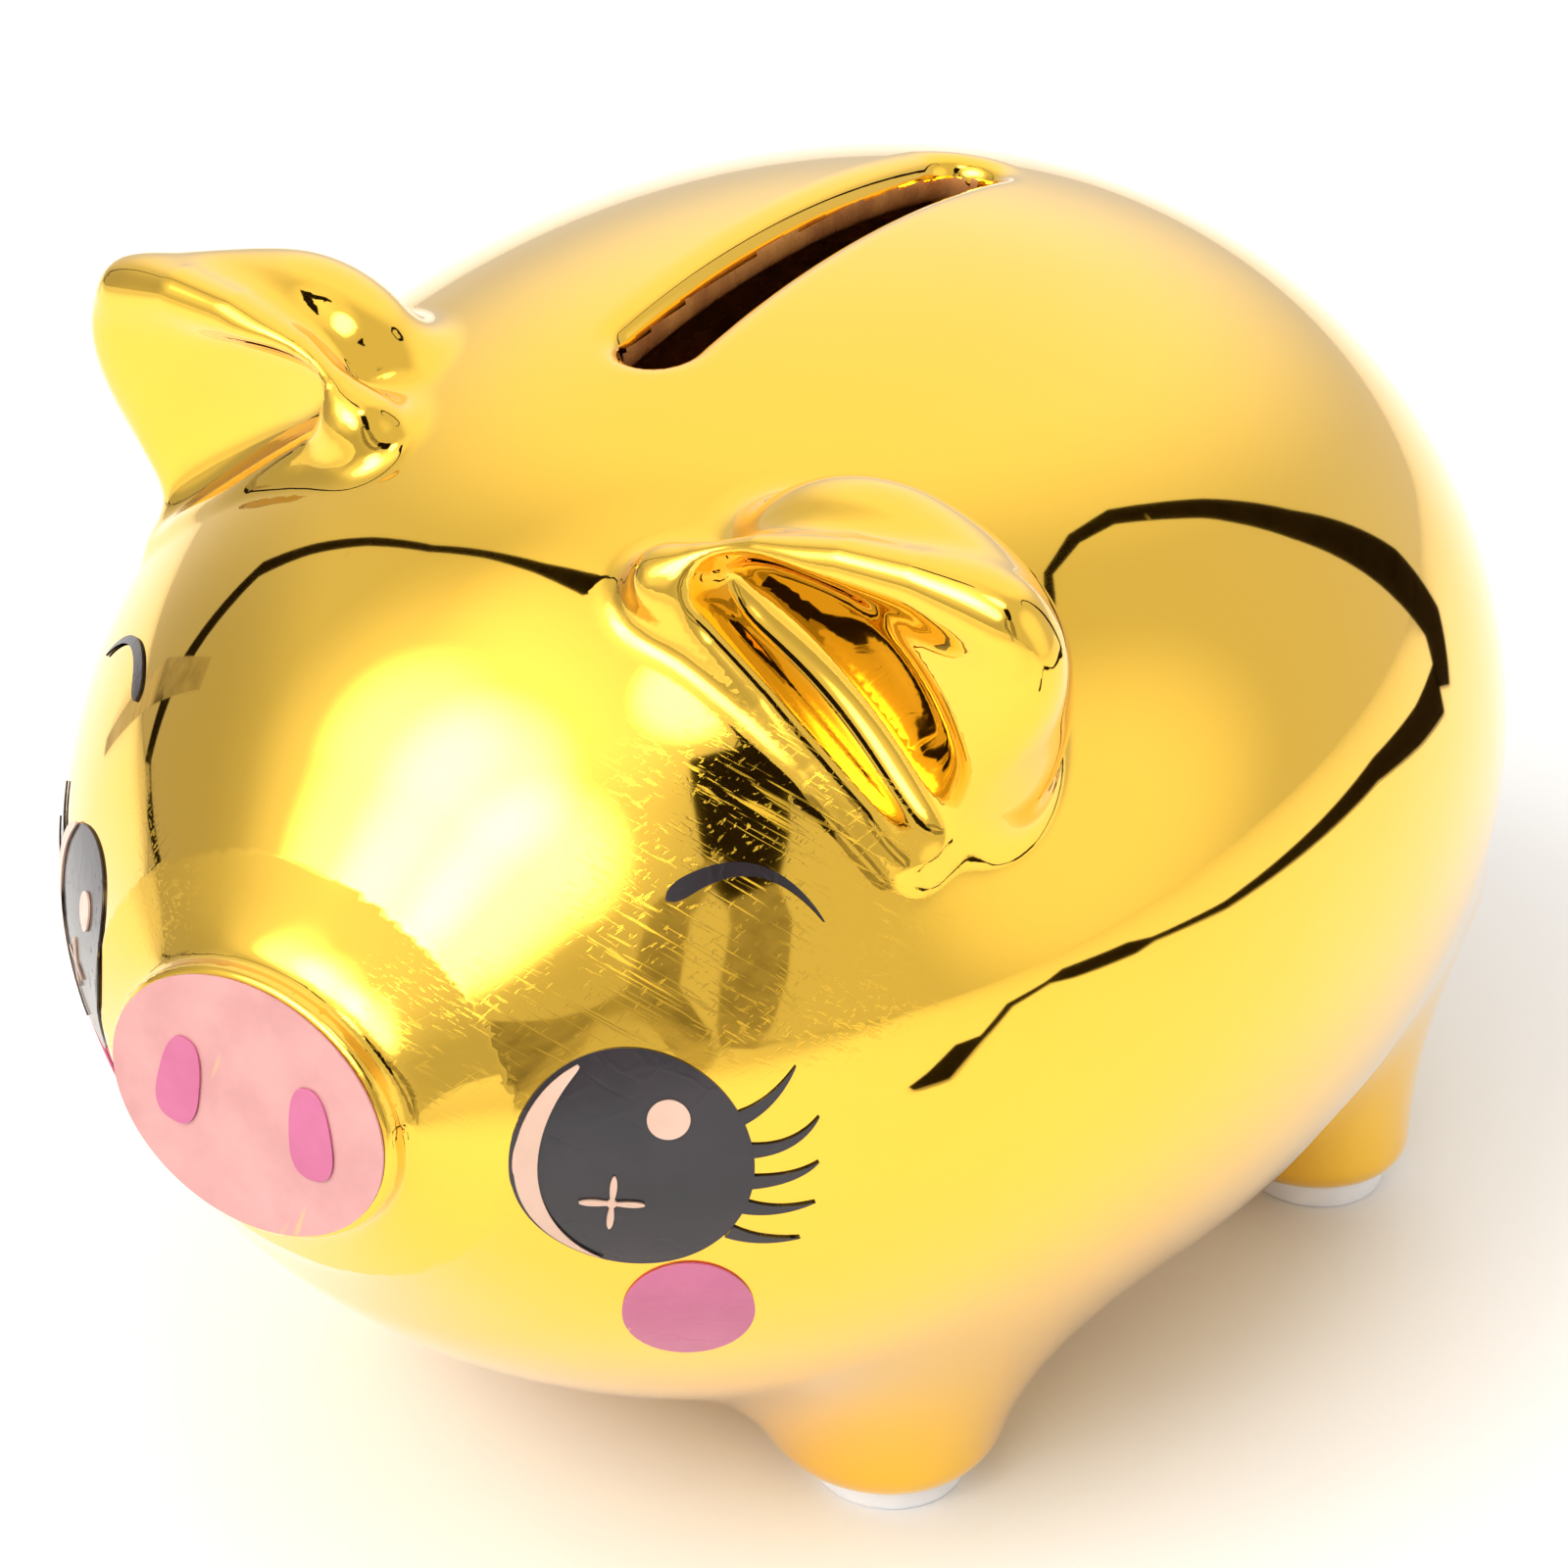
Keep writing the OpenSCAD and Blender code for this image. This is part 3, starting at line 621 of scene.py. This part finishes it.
def film_piece(place, shape, ns, nt, lift=0.0, flip=False):
    """Points, faces and normals of a thin film.

    shape(s, t) gives (u, v) for s and t from -1 to 1, and place puts it on the bank.
    """
    s, t = np.meshgrid(np.linspace(-1, 1, ns + 1), np.linspace(-1, 1, nt + 1), indexing="ij")
    u, v = shape(s.ravel(), t.ravel())
    uv = np.stack([u, v], -1)
    base, n = place(uv)
    k = len(uv)

    def at(i, j):
        return i * (nt + 1) + j

    loop = [at(i, 0) for i in range(ns)] + [at(ns, j) for j in range(nt)]
    loop += [at(i, nt) for i in range(ns, 0, -1)] + [at(0, j) for j in range(nt, 0, -1)]
    edge = base[loop]
    mid = base.mean(0)
    out = edge - mid
    out -= (out * n[loop]).sum(1)[:, None] * n[loop]
    out /= np.linalg.norm(out, axis=1)[:, None] + 1e-9
    low, top = FILM_GAP + lift, FILM_GAP + lift + FILM
    pts = np.concatenate([base + n * top, base + n * low, edge + n[loop] * top, edge + n[loop] * low])
    normals = np.concatenate([n, -n, out, out])
    faces = []
    for i in range(ns):
        for j in range(nt):
            q = [at(i, j), at(i + 1, j), at(i + 1, j + 1), at(i, j + 1)]
            faces.append(q)
            faces.append([k + x for x in reversed(q)])
    m = len(loop)
    for i in range(m):
        j = (i + 1) % m
        faces.append([2 * k + i, 2 * k + m + i, 2 * k + m + j, 2 * k + j])
    if flip:
        faces = [f[::-1] for f in faces]
    return pts, faces, normals


def joined(parts):
    pts, faces, normals, base = [], [], [], 0
    for p, f, n in parts:
        pts.append(p)
        normals.append(n)
        faces += [[i + base for i in q] for q in f]
        base += len(p)
    return np.concatenate(pts), faces, np.concatenate(normals)


def mirrored(part):
    p, f, n = part
    return p * MIRROR, [q[::-1] for q in f], n * MIRROR


def transfer(name, part, mat, cad):
    pts, faces, normals = part
    ob = mesh_of(name, pts, faces, normals, (mat,))
    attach(ob, "bank")
    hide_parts(cad)


def both_sides(film, part, mat, cad, right_part=None):
    """The left film and its mirror image; right_part is given where the right one isn't the same."""
    transfer("left_" + film, part, mat, "left_" + cad)
    transfer("right_" + film, mirrored(right_part or part), mat, "right_" + cad)


def oval(c, r, lean):
    def shape(s, t):
        x, y = disc(s, t)
        x, y = turned(x * r[0], y * r[1], lean)
        return c[0] + x, c[1] + y
    return shape


# Bearing and climb of the marks, seen from the head's centre
EYE_MARK, BROW_MARK, BLUSH_MARK = (38, 1), (49, 28.5), (43, -19.4)
EYE_C, EYE_R, EYE_LEAN = (-0.61, 0.03), (7.22, 7.95), 0.387
PUPIL_C, PUPIL_R, PUPIL_LEAN = (0.21, -0.17), (6.48, 7.56), 0.148


def place_eye(uv):
    return on_face(*EYE_MARK, uv)


def place_brow(uv):
    return on_face(*BROW_MARK, uv)


def place_blush(uv):
    return on_face(*BLUSH_MARK, uv)


def eye_film():
    return film_piece(place_eye, oval(EYE_C, EYE_R, EYE_LEAN), 40, 40)


def ellipse_point(c, r, lean, a):
    x, y = turned(r[0] * np.cos(a), r[1] * np.sin(a), lean)
    return c[0] + x, c[1] + y


def highlights(side):
    """Crescent, dot and star. side -1 turns them over, so that the crescent lies on the outer side."""
    def turn(shape):
        def turned_over(s, t):
            u, v = shape(s, t)
            return side * (u - EYE_C[0]) + EYE_C[0], v
        return turned_over

    def crescent(s, t):
        a = np.radians(172 + 68 * s)
        width = (1 - np.abs(s) ** 3) ** 0.6
        centre = (EYE_C[0] + 0.12, EYE_C[1])
        radii = (EYE_R[0] * 0.985, EYE_R[1] * 0.965)
        u0, v0 = ellipse_point(centre, radii, EYE_LEAN, a - EYE_LEAN * 0.4)
        u1, v1 = ellipse_point(PUPIL_C, PUPIL_R, PUPIL_LEAN, a)
        k = (1 + t) / 2 * width
        return u0 * (1 - k) + u1 * k, v0 * (1 - k) + v1 * k

    def star(s, t):
        x, y = disc(s, t)
        a = np.arctan2(y, x)
        pull = 0.15 + 0.85 * np.abs(np.cos(2 * a)) ** 10
        x, y = turned(x * 2.0 * pull, y * 2.0 * pull, -0.08)
        return -1.85 + x, -2.55 + y

    flip = side < 0
    return joined([film_piece(place_eye, turn(crescent), 60, 6, LIFT, flip),
                   film_piece(place_eye, turn(oval((1.52, 3.24), (1.3, 1.3), 0)), 14, 14, LIFT, flip),
                   film_piece(place_eye, turn(star), 48, 48, LIFT, flip)])


# Each lash: root, a point it bends by, and tip, from the top one down
LASHES = [((5.9, 3.1), (7.9, 3.9), (9.4, 6.3)), ((6.4, 0.8), (9.3, 0.6), (10.8, 2.75)),
          ((6.5, -1.45), (9.4, -1.6), (10.8, -0.45)), ((6.2, -3.3), (8.3, -4.1), (10.7, -3.5)),
          ((5.3, -5.2), (7.2, -6.4), (9.9, -6.35))]


def stroke(a, b, c, w0, w1, blunt=0.0):
    """A tapering stroke bent from a by b to c, its start rounded over the blunt part of its length."""
    a, b, c = (np.array(x) for x in (a, b, c))

    def shape(s, t):
        k = ((s + 1) / 2)[:, None]
        p = a * (1 - k) ** 2 + b * 2 * k * (1 - k) + c * k * k
        d = (b - a) * (1 - k) + (c - b) * k
        n = np.stack([-d[:, 1], d[:, 0]], -1) / np.linalg.norm(d, axis=1)[:, None]
        w = w0 * (1 - k[:, 0]) ** 0.8 + w1
        if blunt:
            w = w * np.sqrt(np.clip(1 - np.clip(1 - k[:, 0] / blunt, 0, 1) ** 2, 0.02, 1))
        p = p + n * (t * w / 2)[:, None]
        return p[:, 0], p[:, 1]
    return shape


def lashes_film():
    return joined([film_piece(place_eye, stroke(a, b, c, 0.95, 0.03), 24, 2) for a, b, c in LASHES])


def brow_film():
    return film_piece(place_brow, stroke((-4.6, -0.6), (1.2, 3.0), (4.6, -2.9), 1.25, 0.05, 0.12), 40, 4)


def blush_film():
    return film_piece(place_blush, oval((0, 0), (4.1, 5.2), 0.12), 24, 24)


def on_snout(uv):
    p = SNOUT_C + uv[:, :1] * [1, 0, 0] + uv[:, 1:] * SNOUT_V
    return p, np.repeat(SNOUT_A[None], len(uv), 0)


def nostril_shape(c, r, lean):
    def shape(s, t):
        x, y = disc(s, t)
        a = np.arctan2(y, x)
        m = np.hypot(x, y) * (np.abs(np.cos(a)) ** 2.7 + np.abs(np.sin(a)) ** 2.7) ** (-1 / 2.7)
        x, y = turned(m * np.cos(a) * r[0] * (1 - 0.16 * m * np.sin(a)), m * np.sin(a) * r[1], lean)
        return c[0] + x, c[1] + y
    return shape


both_sides("eye_film", eye_film(), black_film, "eye")
both_sides("eye_marks", highlights(1), cream_film, "eye_highlights", highlights(-1))
both_sides("lash_film", lashes_film(), black_film, "lashes")
both_sides("brow_film", brow_film(), black_film, "brow")
both_sides("blush_film", blush_film(), rose_film, "blush")
disc_r = (SNOUT_W / 2 - SNOUT_EDGE * 0.75, SNOUT_H / 2 - SNOUT_EDGE * 0.75)
snout_film = film_piece(on_snout, oval((0, 0), disc_r, 0), 40, 40)
transfer("snout_film", snout_film, pink_film, "snout_disc")
nostril = film_piece(on_snout, nostril_shape((5.1, 0.0), (1.6, 3.0), 0.14), 24, 24, LIFT)
both_sides("nostril_film", nostril, rose_film, "nostril")


# ---------------------------------------------------------------- pads and stopper
def lathe(name, profile, centre, mats, steps=96):
    """A turned piece: the profile's (r, z) points, rounded by close points where they bend."""
    profile = np.array(profile, float)
    a = np.linspace(0, 2 * math.pi, steps, endpoint=False)
    n = len(profile)
    pts = [[centre[0] + r * math.cos(t), centre[1] + r * math.sin(t), z] for t in a for r, z in profile]
    faces = [[i * n + j, ((i + 1) % steps) * n + j, ((i + 1) % steps) * n + j + 1, i * n + j + 1]
             for i in range(steps) for j in range(n - 1)]
    ob = mesh_of(name, pts, faces, None, mats)
    bm_merge(ob)
    return ob


def bm_merge(ob):
    bm = bmesh.new()
    bm.from_mesh(ob.data)
    bmesh.ops.remove_doubles(bm, verts=bm.verts, dist=1e-6)
    bmesh.ops.recalc_face_normals(bm, faces=bm.faces)
    bm.to_mesh(ob.data)
    bm.free()
    for p in ob.data.polygons:
        p.use_smooth = True


def fillet(points, radius=0.35, steps=4):
    """The polyline with its inner corners rounded."""
    points = [np.array(p, float) for p in points]
    out = [points[0]]
    for a, b, c in zip(points, points[1:], points[2:]):
        r = min(radius, np.linalg.norm(b - a) * 0.45, np.linalg.norm(c - b) * 0.45)
        p, q = b + (a - b) / np.linalg.norm(a - b) * r, b + (c - b) / np.linalg.norm(c - b) * r
        for t in np.linspace(0, 1, steps + 1):
            out.append(p * (1 - t) ** 2 + 2 * b * t * (1 - t) + q * t * t)
    return out + [points[-1]]


AXIS = 0.001    # a radius near enough to nothing
PAD_NODES = ["front_left_pad", "front_right_pad", "rear_left_pad", "rear_right_pad"]
for (x, y), cad in zip(FEET, PAD_NODES):
    prof = fillet([(AXIS, 0.25), (PAD_R - 1.2, 0.25), (PAD_R - 1.0, 0), (PAD_R, 0),
                   (PAD_R, PAD_T), (AXIS, PAD_T)])
    pad = lathe(cad.replace("pad", "foot_pad"), prof, (x, y), (pad_rubber,))
    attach(pad, "bank")
    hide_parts(cad)

s_lo, s_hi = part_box("stopper")
z0, z1 = s_lo.z / MM, s_hi.z / MM
STOPPER_GAP, STOPPER_WALL = 0.05, 2.4
BAR_START, BAR_BITE, BAR_T, BAR_EDGE = 0.6, 1.2, 2.4, 0.4
r_rim, r_sh = s_hi.x / MM, HOLE_R - STOPPER_GAP
r_cup, cup_top = r_sh - STOPPER_WALL, z1 - STOPPER_WALL
top = SEAT_Z - STOPPER_GAP
prof = fillet([(AXIS, cup_top), (r_cup, cup_top), (r_cup, z0 + 0.5), (r_cup + 0.5, z0), (r_rim - 1.6, z0),
               (r_rim - 1.2, z0 + 0.25), (r_rim - 0.4, z0), (r_rim, z0 + 0.4), (r_rim, top), (r_sh, top),
               (r_sh, CAVITY_FLOOR + 0.4), (r_sh - 1.4, z1), (AXIS, z1)], 0.3)
stopper = lathe("stopper_body", prof, (0, HOLE_Y), (stopper_rubber,), 128)
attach(stopper, "stopper")
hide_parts("stopper")


def rounded_bar(name, size, centre, radius, mats):
    bm = bmesh.new()
    bmesh.ops.create_cube(bm, size=1.0)
    for v in bm.verts:
        v.co = Vector([v.co[i] * size[i] * MM + centre[i] * MM for i in range(3)])
    bmesh.ops.bevel(bm, geom=bm.edges[:], offset=radius * MM, segments=4, profile=0.5, affect="EDGES")
    me = bpy.data.meshes.new(name)
    bm.to_mesh(me)
    bm.free()
    for m in mats:
        me.materials.append(m)
    for p in me.polygons:
        p.use_smooth = True
    ob = bpy.data.objects.new(name, me)
    bpy.context.scene.collection.objects.link(ob)
    return ob


bar_size = (2 * r_cup + BAR_BITE, BAR_T, cup_top - z0 - BAR_START)
bar_centre = (0, HOLE_Y, (z0 + BAR_START + z1 - STOPPER_WALL) / 2)
bar = rounded_bar("stopper_grip_bar", bar_size, bar_centre, BAR_EDGE, (stopper_rubber,))
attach(bar, "stopper")


# ---------------------------------------------------------------- studio: floor, light tent, dark gaps, sheets of painted shade
TENT_R = 3.0
TENT_LEVEL = 0.74
FLOOR_HALF = 2.95
# Patches of the tent: bearing, climb, radius where full, radius where gone (degrees), added level
TENT_LIGHTS = [(-158, 45, 22, 46, 0.46),    # back wall, near the lamp behind
               (106, 18, 8, 30, 0.42),      # right wall
               (-10, 74, 12, 30, 0.34),     # roof above the front
               (-18, 45, 16, 44, 0.60),     # glow of the cloth round the front lamp
               (-34, 44, 2, 20, 3.0),       # front lamp, a leaning bar of light in three patches
               (-14, 46, 4, 20, 6.0),
               (8, 38, 2, 18, 5.0),
               (42, 71, 4, 10, 5.0),        # small roof lamp
               (-80, 6, 8, 32, -0.24),      # shaded left corner
               (0, 0, 15, 45, -0.16)]       # shaded foot of the front wall


def floor_material():
    m, nt, b = new_material("paper_floor")
    pos = position(nt)
    tone = noise(nt, pos, 14, 4)
    paper = mix_colour(nt, tone, (0.81, 0.81, 0.81, 1), (0.835, 0.835, 0.835, 1))
    # Painted shade: the floor's colour darkens with distance towards the front wall, in place of the shade
    # where a paper sweep would curve up to it
    away = vec_node(nt, "DOT_PRODUCT", pos, (-0.17, -0.985, 0))
    painted_shade = remap(nt, away, 0.14, 0.34, 0.0, 0.42)
    nt.links.new(mix_colour(nt, painted_shade, paper, (0.08, 0.08, 0.08, 1)), b.inputs["Base Color"])
    b.inputs["Roughness"].default_value = 0.75
    nt.links.new(bump(nt, noise(nt, pos, 900, 3), 0.03, 0.3), b.inputs["Normal"])
    return m


def tent_material():
    m = bpy.data.materials.new("light_tent")
    m.use_nodes = True
    nt = m.node_tree
    nt.nodes.clear()
    pos = vec_node(nt, "NORMALIZE", position(nt))

    def lobe(az, el, inner, outer):
        d = vec_node(nt, "DOT_PRODUCT", pos, tuple(ray(az, el)))
        return remap(nt, d, math.cos(math.radians(outer)), math.cos(math.radians(inner)))

    level = None
    for az, el, inner, outer, amount in TENT_LIGHTS:
        part = times(nt, lobe(az, el, inner, outer), amount)
        level = add(nt, part, TENT_LEVEL if level is None else level)
    em = nt.nodes.new("ShaderNodeEmission")
    nt.links.new(level, em.inputs["Strength"])
    em.inputs["Color"].default_value = (1.0, 0.985, 0.97, 1)
    out = nt.nodes.new("ShaderNodeOutputMaterial")
    nt.links.new(em.outputs[0], out.inputs[0])
    return m


def dome(name, radius, mat, rings=48, steps=96):
    pts = []
    for i in range(rings + 1):
        out = radius * math.sin(math.pi * i / rings)
        for j in range(steps):
            turn = 2 * math.pi * j / steps
            pts.append([out * math.cos(turn), out * math.sin(turn), radius * math.cos(math.pi * i / rings)])
    faces = []
    for i in range(rings):
        for j in range(steps):
            k = (j + 1) % steps
            faces.append([i * steps + j, (i + 1) * steps + j, (i + 1) * steps + k, i * steps + k])
    ob = mesh_of(name, np.array(pts) / MM, faces, None, (mat,))
    return ob


def strip_material(name, scale, darkest, lightest):
    """A matt cloth with soft patches between two tones, used for the dark seams and for the grey sheets of
    painted shade.
    """
    m, nt, b = new_material(name)
    tone = noise(nt, position(nt), scale, 4)
    nt.links.new(mix_colour(nt, tone, (*darkest, 1), (*lightest, 1)), b.inputs["Base Color"])
    b.inputs["Roughness"].default_value = 1.0
    b.inputs["Specular IOR Level"].default_value = 0.0
    return m


def gap(name, seen_from, points, mat):
    """A dark seam of the tent or floor, or a grey sheet of painted shade, as seen from a point of the bank.

    The points along it are (bearing, climb, width), in degrees.
    """
    eye = np.array(seen_from) * MM
    wall = TENT_R - 0.2
    dirs = [ray(az, el) for az, el, _ in points]
    pts = []
    for i, (_, _, w) in enumerate(points):
        along = dirs[min(i + 1, len(points) - 1)] - dirs[max(i - 1, 0)]
        side = np.cross(dirs[i], along)
        side /= np.linalg.norm(side)
        for s in (-1, 1):
            d = dirs[i] + side * s * math.tan(math.radians(w / 2))
            d /= np.linalg.norm(d)
            far = min(wall, (eye[2] - 0.002) / -d[2]) if d[2] < 0 else wall
            pts.append(eye + d * far)
    faces = [[2 * i, 2 * i + 1, 2 * i + 3, 2 * i + 2] for i in range(len(points) - 1)]
    ob = mesh_of(name, np.array(pts) / MM, faces, None, (mat,))
    ob.visible_camera = False
    ob.visible_shadow = False


corners = [(-1, -1), (1, -1), (1, 1), (-1, 1)]
floor_points = np.array([[x * FLOOR_HALF, y * FLOOR_HALF, 0] for x, y in corners]) / MM
floor = mesh_of("floor", floor_points, [[0, 1, 2, 3]], None, (floor_material(),))
tent = dome("light_tent", TENT_R, tent_material())
tent.visible_camera = False
dark = strip_material("tent_gap", 9, (0.004, 0.003, 0.002), (0.02, 0.014, 0.01))
# Painted shade: grey sheets, hidden from the camera, stand where the tent is only in shade, so that the bank
# reflects darker there.
shade = strip_material("tent_shade", 7, (0.14, 0.13, 0.12), (0.5, 0.48, 0.46))
gap("gap_side_horizon", (40, 5, 40),
    [(60, -14, 0.8), (66, -13, 2.6), (74, -9.5, 2.2), (78, -8.6, 0.6), (86, -5, 0.7), (93, -4, 0.5),
     (96, -4, 2.0), (105, -5, 2.1), (108, -5.4, 0.7), (118, -6.8, 1.0), (130, -6.6, 1.6),
     (143, -6, 2.4), (152, -7, 3.2), (158, -7, 4)], dark)
gap("gap_side_corner", (40, 30, 45),
    [(157, -9, 3.5), (160, -4, 5.0), (159, 3, 5.5), (157, 11, 4.6), (155, 19, 3.6), (153, 30, 2.6),
     (149, 41, 2.2), (144, 45, 1.8), (136, 47, 1.2), (129, 45, 1.6)], dark)
gap("gap_opening", (26, -48, 55), [(54, 60, 13), (54, 52, 15), (53, 42, 14), (52, 34, 11), (52, 29, 6)], dark)
# Painted shade: grey sheet below the tent's opening.
gap("painted_shade_opening_foot", (26, -48, 55),
    [(53, 33, 8), (54, 25, 10), (52, 14, 11), (50, 3, 9), (49, -2, 6)], shade)
gap("gap_left", (-5, -50, 62),
    [(-83, -1, 2.2), (-88, 5, 3), (-91, 12, 2.6), (-95, 21, 2.2), (-94, 30, 1.6), (-92, 40, 1.3),
     (-88, 51, 1.1), (-85, 61, 1.2), (-80, 69, 1.8), (-70, 77, 3.6), (-57, 83, 4.6), (-24, 87, 2)], dark)
# Painted shade: grey sheet along the left horizon.
gap("painted_shade_left_horizon", (5, -55, 52), [(-100, -10, 1.5), (-92, 3, 5), (-84, 14, 4)], shade)
# Painted shade: grey sheet that darkens the reflection beside the snout.
gap("painted_shade_front_blob", (8, -55, 45),
    [(49, 40, 3), (38, 30, 7), (35, 13, 9), (42, 0, 7), (45, -6, 2.5)], shade)

world = bpy.data.worlds.new("studio")
bpy.context.scene.world = world
world.use_nodes = True
bg = world.node_tree.nodes.get("Background") or world.node_tree.nodes.new("ShaderNodeBackground")
bg.inputs["Color"].default_value = (1.0, 1.0, 1.0, 1)
bg.inputs["Strength"].default_value = 1.0

# ---------------------------------------------------------------- camera
CAM_AZ, CAM_EL, CAM_ROLL = math.radians(32.985), math.radians(30.125), math.radians(1.491)
CAM_FAR, CAM_LENS, CAM_SENSOR = 300.0, 98.26, 36
CAM_CENTRE, CAM_SHIFT = np.array([0, -1.55, 48.57]), (0.03, -5.97)
level, climb = math.cos(CAM_EL), math.sin(CAM_EL)
back = np.array([math.sin(CAM_AZ) * level, -math.cos(CAM_AZ) * level, climb])
right0 = np.array([math.cos(CAM_AZ), math.sin(CAM_AZ), 0])
up0 = np.cross(back, right0)
right = math.cos(CAM_ROLL) * right0 + math.sin(CAM_ROLL) * up0
up = -math.sin(CAM_ROLL) * right0 + math.cos(CAM_ROLL) * up0
target = CAM_SHIFT[0] * right0 + CAM_SHIFT[1] * up0 + CAM_CENTRE
cam_data = bpy.data.cameras.new("camera")
cam_data.lens = CAM_LENS
cam_data.sensor_width = CAM_SENSOR
cam_data.clip_start, cam_data.clip_end = 0.01, 20
camera = bpy.data.objects.new("camera", cam_data)
bpy.context.scene.collection.objects.link(camera)
turn = Matrix((right, up, back)).transposed().to_4x4()
turn.translation = Vector((target + back * CAM_FAR) * MM)
camera.matrix_world = turn
bpy.context.scene.camera = camera
bpy.context.scene.view_settings.view_transform = "Standard"
bpy.context.scene.view_settings.look = "None"
